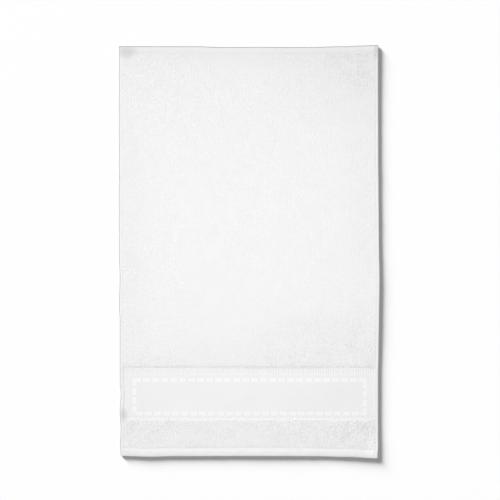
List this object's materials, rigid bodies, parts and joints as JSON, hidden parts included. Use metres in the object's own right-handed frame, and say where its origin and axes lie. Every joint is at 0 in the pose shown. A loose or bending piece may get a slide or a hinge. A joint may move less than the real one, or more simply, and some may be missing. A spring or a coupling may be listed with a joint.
{
  "type": "sports towel",
  "caption": "Rectangular white cotton terry towel lying flat, with a looped pile face, hemmed edges and a flat woven border with ribbed strips near one end.",
  "frame": {"origin": "middle of the towel's outline, on the surface that it lies on", "axes": "+Z up out of the pile face, +Y along the towel towards its plain end, the bordered end at -Y, +X to the right seen from above with +Y up"},
  "size_m": [0.3104, 0.493, 0.0051],
  "materials": {
    "cotton_terry": "matt white looped cotton pile, with a smoother woven border"
  },
  "bodies": {
    "root": {"towel_cloth": "cotton_terry"}
  },
  "joints": []
}
